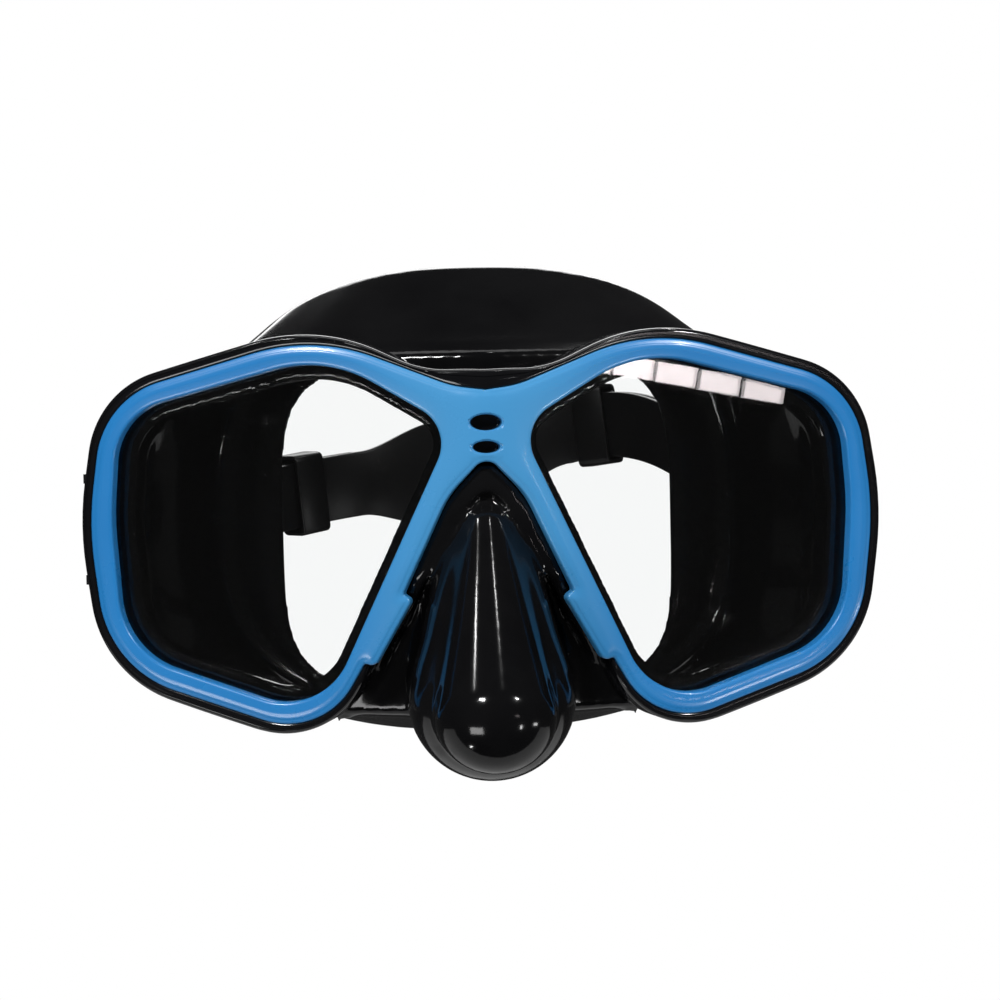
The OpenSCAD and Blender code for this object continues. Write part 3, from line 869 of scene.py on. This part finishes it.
def skirt_piece():
    """The whole skirt from one field: shell, lens flanges and necks, collar and windows."""
    step = 0.8
    lo = np.array((-88.0, -31.0, -56.0))
    hi = np.array((88.0, 66.0, 65.0))
    axes = [np.arange(lo[k], hi[k] + step, step, dtype=np.float32) for k in range(3)]
    axes[0] = axes[0] - (axes[0][0] + axes[0][-1]) / 2
    x, y, z = np.meshgrid(*axes, indexing="ij")
    outer, cavity, opening = skirt_field(x, y, z)

    ax = np.abs(x)
    d = (y - TAN * ax) * math.cos(SWEEP)
    px = ax + d * math.sin(SWEEP)
    lens = sample_grid(*loop_grid(rounded(LENS_OPENING)), px, z)
    flange = np.maximum(np.maximum(lens - 2.9, LENS_BACK + 0.02 - d), d - 9.2)
    neck = np.maximum(np.maximum(lens - 0.9, 8.5 - d), d - 15.0)
    window = np.maximum(lens + 2.9, np.maximum(LENS_BACK - 2 - d, d - 14.5))

    rim_d = loop_distance(COLLAR_OUTER, x, z)
    arch_d = loop_distance(COLLAR_INNER, x, z)
    sink = 2.4 + np.clip(-8 - z, 0, 60) * 0.35
    depth = (y - TAN * np.sqrt(ax * ax + BRIDGE_SOFT ** 2)) * math.cos(SWEEP)
    collar = smax(smax(rim_d + 0.25, sink - depth, 0.8), depth - 14, 0.5)
    collar = smax(collar, -np.maximum(arch_d, depth - (sink + 7)), 1.5)

    shell = smin(outer, collar, 1.7)
    shell = np.minimum(shell, flange)
    shell = smin(shell, neck, 0.5)
    shell = smax(shell, -cavity, 0.8)
    shell = smax(shell, -opening, 1.0)
    shell = smax(shell, -window, 0.5)
    points, faces = surface_nets(shell, np.array([a[0] for a in axes], float), step)
    points = relaxed(points, faces, 2)
    obj = make("skirt_skin", points, faces, MAT["skirt_silicone"], 180)
    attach(obj, "mask")
    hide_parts("skirt")
    return obj


skirt_piece()


# --- Head strap ------------------------------------------------------------------------------

STRAP_W = 17.0
STRAP_T = 2.2
PAD_W = 27.0
PAD_SLOT = (12.0, 6.0)
REACH = 152.0               # how far back the loop goes
REAR_SPREAD = 46.0          # the loop's control points: across at the back, and along the side
SIDE_RUN = 45.0
LEAN = math.radians(10)     # the buckles lean in by this
ROLLER_U = 11.0             # from the swivel pin back to the roller
LAYER_V = 4.6               # each layer of the strap beside the roller's axis
BAND_U = 33.7               # where the curved loop starts
TAIL_GAP = 2.8              # between the band's middle and the tail's
TAIL_END = 0.82
TOOTH_PITCH, TOOTH_H, TOOTH_HALF = 2.6, 0.38, 5.4
# The back of the loop: its height, its tilt to one side, and its sag in the middle
REAR_RISE, REAR_SLOPE, REAR_CURL, CURL_R = 11.1, 0.23, 0.14, 12.0
KEEPER_AT = {"left": 0.62, "right": 0.69}
KEEPER_L, KEEPER_GAP, KEEPER_T = 9.0, 1.0, 1.0
SIDES = {"left": -1.0, "right": 1.0}


def buckle_point(u, v):
    """Plan point at u back along the strap and v outward from the right swivel pin."""
    u, v = np.broadcast_arrays(np.asarray(u, float), np.asarray(v, float))
    return np.stack([PIN[0] - u * math.sin(LEAN) + v * math.cos(LEAN),
                     PIN[1] + u * math.cos(LEAN) + v * math.sin(LEAN)], -1)


def loop_xy(t):
    """Plan points of the right half of the loop, from the buckle at 0 to the middle at 1."""
    t = np.asarray(t, float)[..., None]
    p0 = buckle_point(BAND_U, -LAYER_V)
    p1 = p0 + SIDE_RUN * np.array((-math.sin(LEAN), math.cos(LEAN)))
    p2, p3 = np.array((REAR_SPREAD, REACH)), np.array((0.0, REACH))
    return (1 - t) ** 3 * p0 + 3 * (1 - t) ** 2 * t * p1 + 3 * (1 - t) * t * t * p2 + t ** 3 * p3


def loop_out(t):
    """Outward normals of the loop in plan."""
    d = loop_xy(np.asarray(t) + 0.001) - loop_xy(np.asarray(t) - 0.001)
    d = d / np.linalg.norm(d, axis=-1, keepdims=True)
    return np.stack([d[..., 1], -d[..., 0]], -1)


def loop_z(side, t):
    x = side * loop_xy(t)[..., 0]
    rear = REAR_RISE + REAR_SLOPE * x + REAR_CURL * (np.sqrt(x * x + CURL_R ** 2) - CURL_R)
    return mix(BUCKLE_Z, rear, ease(np.asarray(t) / 0.8))


def band_section(half_w, half_t, corner=0.55):
    """Outline of the band's section as (across thickness, across width)."""
    pts = []
    for sx, sz, a0 in ((1, 1, 0), (-1, 1, 90), (-1, -1, 180), (1, -1, 270)):
        for a in (0, 30, 60, 90):
            ang = math.radians(a0 + a)
            pts.append((sx * (half_t - corner) + corner * math.cos(ang),
                        sz * (half_w - corner) + corner * math.sin(ang)))
    return np.array(pts)


def teeth(length):
    """How far the band's teeth stand proud, along its length."""
    return TOOTH_H * np.clip(1.6 * np.cos(2 * math.pi * length / TOOTH_PITCH), 0, 1)


def swept_band(centres, normals, half_widths, ridges):
    """A closed band. ridges gives how far the middle of each ring's outer face stands proud."""
    rings = []
    for c, n, hw, ridge in zip(centres, normals, half_widths, ridges):
        sec = band_section(hw, STRAP_T / 2)
        inner = min(hw - 1.0, TOOTH_HALF)
        extra = [(STRAP_T / 2, -inner - 0.3), (STRAP_T / 2 + ridge, -inner),
                 (STRAP_T / 2 + ridge, inner), (STRAP_T / 2, inner + 0.3)]
        sec = np.vstack([sec, extra])
        rings.append(np.stack([c[0] + n[0] * sec[:, 0], c[1] + n[1] * sec[:, 0],
                               c[2] + sec[:, 1]], 1))
    return np.vstack(rings), tube_faces(len(rings), len(rings[0]))


def half_path(name):
    """Centres, outward normals, half widths and ridges from the loose tail to the keeper."""
    side = SIDES[name]
    join_t = KEEPER_AT[name]
    t = np.linspace(TAIL_END, 0, 300)
    off = mix(2 * LAYER_V, TAIL_GAP, ease(t / 0.3))
    tail = loop_xy(t) + loop_out(t) * off[:, None]
    tail_z = loop_z(side, t)
    length = arclength(tail)
    round_off = np.clip(length / 7.0, 0, 1)
    half = STRAP_W / 2 * np.maximum(np.sqrt(1 - (1 - round_off) ** 2), 0.16)
    ridge = teeth(length) * ease((length - 6.0) / 1.0)

    u = np.linspace(BAND_U, ROLLER_U, 62)[1:]
    upper = buckle_point(u, LAYER_V)
    more = length[-1] + (BAND_U - u)
    turn = np.radians(np.linspace(90, 270, 44))[1:]
    wrap = buckle_point(ROLLER_U + LAYER_V * np.cos(turn), LAYER_V * np.sin(turn))
    lower = buckle_point(np.linspace(ROLLER_U, BAND_U, 26)[1:], -LAYER_V)
    tb = np.linspace(0, join_t, 60)[1:]
    base = loop_xy(tb)

    out_v = np.array((math.cos(LEAN), math.sin(LEAN)))
    back_u = np.array((-math.sin(LEAN), math.cos(LEAN)))
    radial = np.cos(turn)[:, None] * back_u + np.sin(turn)[:, None] * out_v
    plan = np.vstack([tail, upper, wrap, lower, base])
    normal = np.vstack([loop_out(t), np.tile(out_v, (len(upper), 1)), radial,
                        np.tile(-out_v, (len(lower), 1)), -loop_out(tb)])
    flat = len(upper) + len(wrap) + len(lower)
    z = np.concatenate([tail_z, np.full(flat, BUCKLE_Z), loop_z(side, tb)])
    half = np.concatenate([half, np.full(flat + len(base), STRAP_W / 2)])
    upper_ridge = teeth(more) * ease((u - 22.0) / 2.0)
    ridge = np.concatenate([ridge, upper_ridge, np.zeros(flat - len(upper) + len(base))])
    centres = np.column_stack([plan * np.array((side, 1)), z])
    return centres, normal * np.array((side, 1)), half, ridge


def strap_half(name):
    """The stretch that turns round one buckle's roller."""
    points, faces = swept_band(*half_path(name))
    obj = make(f"strap_run_{name}", points, faces, MAT["strap_silicone"], 60)
    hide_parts(f"strap_end_{name}")
    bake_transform(obj)


def strap_pad():
    """The band round the back of the head, from keeper to keeper, with a slot in its wide pad."""
    tl = np.linspace(KEEPER_AT["left"], 1, 60)
    tr = np.linspace(1, KEEPER_AT["right"], 60)[1:]
    t = np.concatenate([tl, tr])
    side = np.concatenate([np.full(len(tl), -1.0), np.full(len(tr), 1.0)])
    plan = loop_xy(t)
    out = loop_out(t)
    flip = np.stack([side, np.ones(len(t))], 1)
    z = np.where(side < 0, loop_z(-1.0, t), loop_z(1.0, t))
    half = mix(STRAP_W, PAD_W, ease((t - 0.78) / 0.17)) / 2
    centres = np.column_stack([plan * flip, z])
    points, faces = swept_band(centres, out * flip, half, np.zeros(len(t)))
    obj = make("head_strap_skin", points, faces, MAT["strap_silicone"], 60)
    w, h = PAD_SLOT
    turns = np.radians(np.arange(0, 360, 10) + 5)
    ring = np.stack([np.sign(np.cos(turns)) * (w - h) / 2 + h / 2 * np.cos(turns),
                     REAR_RISE + h / 2 * np.sin(turns)], 1)
    cut_prism(obj, ring, REACH - 10, REACH + 10, MAT["strap_silicone"])
    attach(obj, "mask")
    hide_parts("head_strap")


def keeper(name):
    """A rounded loop round the band and its tail."""
    side, t = SIDES[name], KEEPER_AT[name]

    def at(k):
        return np.array((side * loop_xy(k)[0], loop_xy(k)[1], float(loop_z(side, k))))

    here = at(t)
    run = unit(at(t + 0.02) - here)
    out = loop_out(t)
    out = np.array((side * out[0], out[1], 0.0))
    out = unit(out - (out @ run) * run)
    up = np.cross(run, out)
    up = up * np.sign(up[2])
    low, high = -STRAP_T / 2 - KEEPER_GAP, TAIL_GAP + STRAP_T / 2 + KEEPER_GAP
    half = STRAP_W / 2 + KEEPER_GAP
    e, g = KEEPER_L / 2, KEEPER_T
    profile = [(0, -e + 0.3), (0, 0), (0, e - 0.3), (0.1, e - 0.08), (0.3, e), (g - 0.3, e),
               (g - 0.1, e - 0.08), (g, e - 0.3), (g, 0), (g, -e + 0.3), (g - 0.1, -e + 0.08),
               (g - 0.3, -e), (0.3, -e), (0.1, -e + 0.08)]
    rows = []
    for grow, s in profile:
        sec = band_section(half + grow, (high - low) / 2 + grow, 0.7 + grow)
        rows.append(here + s * run + (sec[:, :1] + (high + low) / 2) * out + sec[:, 1:] * up)
    points = np.vstack(rows)
    faces = ring_faces(len(rows), len(rows[0]), True, True)
    obj = make(f"strap_keeper_{name}_skin", points, faces, MAT["strap_silicone"], 60)
    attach(obj, f"keeper_{name}")
    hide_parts(f"strap_keeper_{name}")


strap_pad()
for name in SIDES:
    strap_half(name)
    keeper(name)


# --- Carried-over CAD nodes ------------------------------------------------------------------

def dress(name, slot, bevel):
    """Give a CAD node its material, and soft edges of the bevel's width in millimetres."""
    obj = frame["nodes"][name]
    if isinstance(obj, str):
        obj = bpy.data.objects[obj]
    obj.data.materials.clear()
    obj.data.materials.append(MAT[slot])
    if bevel:
        weld = obj.modifiers.new("weld", "WELD")
        weld.merge_threshold = 1e-6
        mod = obj.modifiers.new("bevel", "BEVEL")
        mod.width = bevel * MM
        mod.segments = 3
        mod.limit_method = "ANGLE"
        mod.angle_limit = math.radians(35)
        mod.harden_normals = True


DRESS = {"lens": ("lens_glass", 0), "hinge_pin": ("pin_steel", 0.15),
         "buckle_body": ("buckle_black", 0.35), "roller_axle": ("pin_steel", 0.15),
         "strap_roller": ("buckle_black", 0.3), "ratchet_lever": ("buckle_black", 0.35),
         "lever_pin": ("pin_steel", 0.15), "lever_spring": ("pin_steel", 0)}
for kind, (slot, bevel) in DRESS.items():
    for side in ("left", "right"):
        dress(f"{kind}_{side}", slot, bevel)


# --- Floor, light and camera -----------------------------------------------------------------

FLOOR_HALF, FLOOR_FRONT, FLOOR_BACK, FLOOR_DROP = 0.4, -0.10, 0.12, 0.11


def floor_piece():
    """A plain pale floor, below what the camera sees."""
    mesh = bpy.data.meshes.new("floor")
    z = cad_box[0][2] - FLOOR_DROP
    mesh.from_pydata([(-FLOOR_HALF, FLOOR_FRONT, z), (FLOOR_HALF, FLOOR_FRONT, z),
                      (FLOOR_HALF, FLOOR_BACK, z), (-FLOOR_HALF, FLOOR_BACK, z)],
                     [], [(0, 1, 2, 3)])
    obj = bpy.data.objects.new("floor", mesh)
    bpy.context.scene.collection.objects.link(obj)
    mat, _, _, bsdf = base_material("floor")
    bsdf.inputs["Base Color"].default_value = (0.8, 0.8, 0.8, 1)
    bsdf.inputs["Roughness"].default_value = 0.8
    mesh.materials.append(mat)


def area(name, at, look, size, power, size_y=None):
    """A rectangular light at a place, turned to look at another. Sizes in metres, power in W."""
    light = bpy.data.lights.new(name, "AREA")
    light.energy = power
    light.shape = "RECTANGLE"
    light.size = size
    light.size_y = size_y or size
    obj = bpy.data.objects.new(name, light)
    obj.location = at
    obj.rotation_euler = (Vector(look) - Vector(at)).to_track_quat("-Z", "Y").to_euler()
    bpy.context.scene.collection.objects.link(obj)
    return obj


WORLD_DIM = 0.035


def world():
    """White behind the mask and through the glass, dim for everything that it lights."""
    w = bpy.data.worlds.new("studio")
    bpy.context.scene.world = w
    w.use_nodes = True
    nodes, links = w.node_tree.nodes, w.node_tree.links
    bg = nodes["Background"]
    bg.inputs["Color"].default_value = (1, 1, 1, 1)
    paths = nodes.new("ShaderNodeLightPath").outputs
    either = maths(nodes, links, "MAXIMUM", paths["Is Camera Ray"], paths["Is Transmission Ray"])
    bounces = maths(nodes, links, "ADD", paths["Diffuse Depth"], paths["Glossy Depth"])
    direct = maths(nodes, links, "LESS_THAN", bounces, 0.5)
    seen = maths(nodes, links, "MULTIPLY", either, direct)
    links.new(span(nodes, links, seen, WORLD_DIM, 1.0).outputs["Result"], bg.inputs["Strength"])


floor_piece()
world()
area("key_left", (-0.42, -0.75, 0.62), (0, -0.03, 0), 0.16, 6, 0.10)
area("key_right", (0.55, -0.62, 0.55), (0, -0.03, 0), 0.05, 3.5, 0.05)
area("top_soft", (0.0, 0.0, 0.8), (0, 0, 0), 0.5, 0.8, 0.26)
area("low_left", (-0.42, -0.62, -0.30), (-0.02, -0.03, 0), 0.30, 1.4, 0.16)
area("low_right", (0.50, -0.60, -0.24), (0.04, -0.045, -0.03), 0.07, 0.45, 0.08)
area("side_right", (0.72, -0.28, -0.20), (0.08, -0.04, -0.02), 0.10, 0.35, 0.05)
area("back_soft", (0.0, 0.8, 0.5), (0, 0, 0), 0.5, 3)
# Small lights for the streaks on the nose, the bridge and the hood
area("streak_left", (-0.37, -0.155, 0.575), (0, -0.07, -0.02), 0.05, 0.25, 0.018)
area("streak_mid", (0.120, -0.245, 0.645), (0, -0.07, -0.02), 0.020, 0.12, 0.03)
area("streak_apex", (-0.392, -0.24, -0.534), (0, -0.058, 0.014), 0.05, 0.20, 0.02)
area("hood_right", (0.24, 0.18, 0.67), (0.018, -0.04, 0.04), 0.05, 0.35, 0.012)
# A row of window panes, reflected in the right lens
WINDOW_PANES = [(0.540, -0.905, 0.0550), (0.565, -0.896, 0.0505), (0.590, -0.886, 0.0455),
                (0.615, -0.875, 0.0400), (0.640, -0.863, 0.0345)]
WINDOW_TILT = math.radians(-10.7)
for k, place_k in enumerate(WINDOW_PANES):
    pane = area(f"window_{k}", place_k, (0.045, -0.04, 0.03), 0.0248, 0.024 - 0.0028 * k, 0.0125)
    pane.rotation_euler.rotate_axis("Z", WINDOW_TILT)
    pane.data.color = (1.0, 0.90, 0.91)

# The camera, fitted to the object's outline in its picture
VIEW_DISTANCE = 0.500
VIEW_WIDTH = 0.2058
SENSOR = 36.0
camera = bpy.data.cameras.new("camera")
camera.sensor_width = SENSOR
camera.lens = SENSOR * VIEW_DISTANCE / VIEW_WIDTH
camera.shift_x = 0.0113
camera.shift_y = 0.0371
camera_obj = bpy.data.objects.new("camera", camera)
bpy.context.scene.collection.objects.link(camera_obj)
turn, rise, roll = math.radians(-2.7), math.radians(3.0), math.radians(-1.2)
target = Vector((0, -SEAL_DEPTH * MM, 0))
back = Vector((math.sin(turn) * math.cos(rise), -math.cos(turn) * math.cos(rise), math.sin(rise)))
camera_obj.location = target + back * VIEW_DISTANCE
camera_obj.rotation_euler = back.to_track_quat("Z", "Y").to_euler()
camera_obj.rotation_euler.rotate_axis("Z", roll)
bpy.context.scene.camera = camera_obj
bpy.context.scene.view_settings.view_transform = "Standard"
